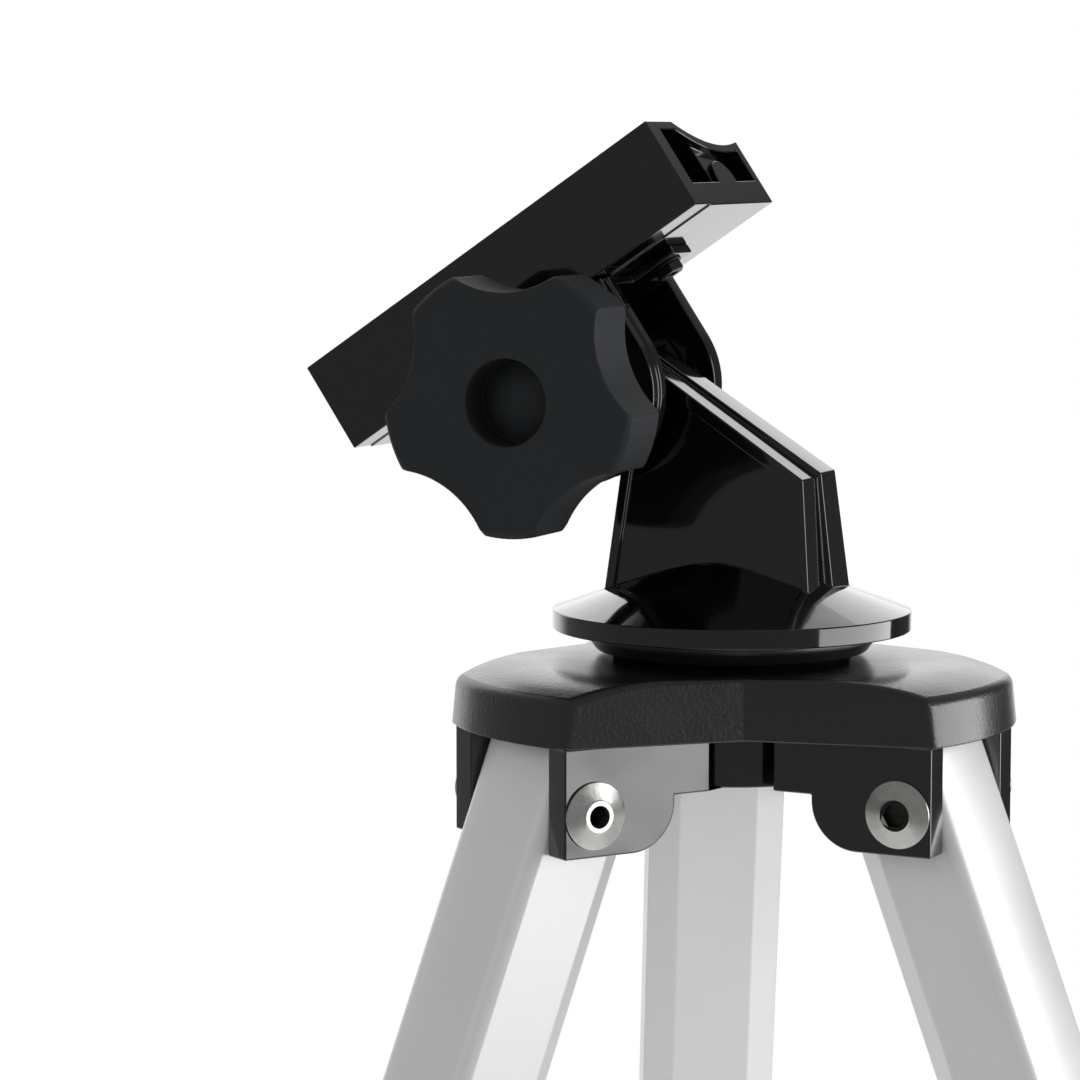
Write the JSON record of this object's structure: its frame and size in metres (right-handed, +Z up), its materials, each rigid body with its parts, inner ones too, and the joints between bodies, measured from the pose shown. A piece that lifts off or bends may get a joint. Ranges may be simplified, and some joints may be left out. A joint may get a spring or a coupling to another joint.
{
  "type": "alt azimuth mount",
  "caption": "Alt azimuth telescope mount: a tilting cradle saddle on a slanted arm and turntable, held by a knob, on a folding tripod with telescoping legs.",
  "frame": {"origin": "on the azimuth axis at floor level", "axes": "+Z up along the azimuth axis, +X from the azimuth axis along the arm towards the raised end of the saddle, the altitude axis along Y with the knob on the -Y side"},
  "size_m": [0.4815, 0.5288, 0.7797],
  "materials": {
    "hub_plastic": "fine pebbled moulded black plastic",
    "black_gloss_plastic": "glossy black moulded plastic",
    "black_plastic": "satin black moulded plastic",
    "knob_plastic": "satin charcoal moulded plastic",
    "black_painted_steel": "semi-gloss black painted steel",
    "zinc_steel": "bright zinc-plated steel",
    "brass": "plain brass",
    "anodised_aluminium": "satin clear-anodised aluminium",
    "nylon_white": "natural nylon",
    "foot_rubber": "matt black rubber"
  },
  "bodies": {
    "tripod_head": {"tripod_head": "hub_plastic", "leg_hinge_sleeves": "zinc_steel", "leg_hinge_screws": "zinc_steel", "turntable_glide": "nylon_white"},
    "turntable": {"turntable_arm": "black_gloss_plastic", "azimuth_bolt": "zinc_steel", "azimuth_washer": "zinc_steel", "azimuth_nut": "zinc_steel"},
    "saddle": {"saddle": "black_gloss_plastic", "yoke": "black_painted_steel", "yoke_bolts": "zinc_steel", "yoke_washers": "zinc_steel", "altitude_bolt": "zinc_steel", "friction_washers": "black_plastic", "knob_washer": "zinc_steel"},
    "altitude_knob": {"altitude_knob": "knob_plastic", "knob_insert": "brass"},
    "leg_1": {"leg_1_tube": "anodised_aluminium", "leg_1_plug": "hub_plastic", "leg_1_collar": "black_plastic"},
    "leg_1_lower": {"leg_1_inner_tube": "anodised_aluminium", "leg_1_glide": "black_plastic", "leg_1_foot": "foot_rubber"},
    "leg_1_lock": {"leg_1_lock_knob": "knob_plastic", "leg_1_lock_screw": "zinc_steel"},
    "leg_2": {"leg_2_tube": "anodised_aluminium", "leg_2_plug": "hub_plastic", "leg_2_collar": "black_plastic"},
    "leg_2_lower": {"leg_2_inner_tube": "anodised_aluminium", "leg_2_glide": "black_plastic", "leg_2_foot": "foot_rubber"},
    "leg_2_lock": {"leg_2_lock_knob": "knob_plastic", "leg_2_lock_screw": "zinc_steel"},
    "leg_3": {"leg_3_tube": "anodised_aluminium", "leg_3_plug": "hub_plastic", "leg_3_collar": "black_plastic"},
    "leg_3_lower": {"leg_3_inner_tube": "anodised_aluminium", "leg_3_glide": "black_plastic", "leg_3_foot": "foot_rubber"},
    "leg_3_lock": {"leg_3_lock_knob": "knob_plastic", "leg_3_lock_screw": "zinc_steel"}
  },
  "joints": [
    {"name": "azimuth_turn", "type": "hinge", "parent": "tripod_head", "child": "turntable", "pos_m": [0, 0, 0.673], "axis": [0, 0, 1], "continuous": true},
    {"name": "altitude_tilt", "type": "hinge", "parent": "turntable", "child": "saddle", "pos_m": [-0.0292, 0, 0.7232], "axis": [0, -1, 0], "range_deg": [-48, 56]},
    {"name": "altitude_knob_turn", "type": "hinge", "parent": "saddle", "child": "altitude_knob", "pos_m": [-0.0292, -0.04, 0.7232], "axis": [0, -1, 0], "range_deg": [0, 720]},
    {"name": "leg_1_fold", "type": "hinge", "parent": "tripod_head", "child": "leg_1", "pos_m": [0.04777, -0.00359, 0.6405], "axis": [0.075, 0.9972, 0], "range_deg": [0, 20]},
    {"name": "leg_1_extend", "type": "slide", "parent": "leg_1", "child": "leg_1_lower", "axis": [0.3525, -0.0265, -0.9354], "range_m": [0, 0.4]},
    {"name": "leg_1_lock_turn", "type": "hinge", "parent": "leg_1", "child": "leg_1_lock", "pos_m": [0.2772, -0.02084, 0.08817], "axis": [0.9328, -0.0701, 0.3535], "range_deg": [0, 360]},
    {"name": "leg_2_fold", "type": "hinge", "parent": "tripod_head", "child": "leg_2", "pos_m": [-0.02077, 0.04316, 0.6405], "axis": [-0.9011, -0.4337, 0], "range_deg": [0, 20]},
    {"name": "leg_2_extend", "type": "slide", "parent": "leg_2", "child": "leg_2_lower", "axis": [-0.1533, 0.3185, -0.9354], "range_m": [0, 0.4]},
    {"name": "leg_2_lock_turn", "type": "hinge", "parent": "leg_2", "child": "leg_2_lock", "pos_m": [-0.12055, 0.25049, 0.08817], "axis": [-0.4057, 0.8429, 0.3535], "range_deg": [0, 360]},
    {"name": "leg_3_fold", "type": "hinge", "parent": "tripod_head", "child": "leg_3", "pos_m": [-0.02699, -0.03957, 0.6405], "axis": [0.8261, -0.5635, 0], "range_deg": [0, 20]},
    {"name": "leg_3_extend", "type": "slide", "parent": "leg_3", "child": "leg_3_lower", "axis": [-0.1992, -0.292, -0.9354], "range_m": [0, 0.4]},
    {"name": "leg_3_lock_turn", "type": "hinge", "parent": "leg_3", "child": "leg_3_lock", "pos_m": [-0.15665, -0.22964, 0.08817], "axis": [-0.5271, -0.7728, 0.3535], "range_deg": [0, 360]}
  ]
}
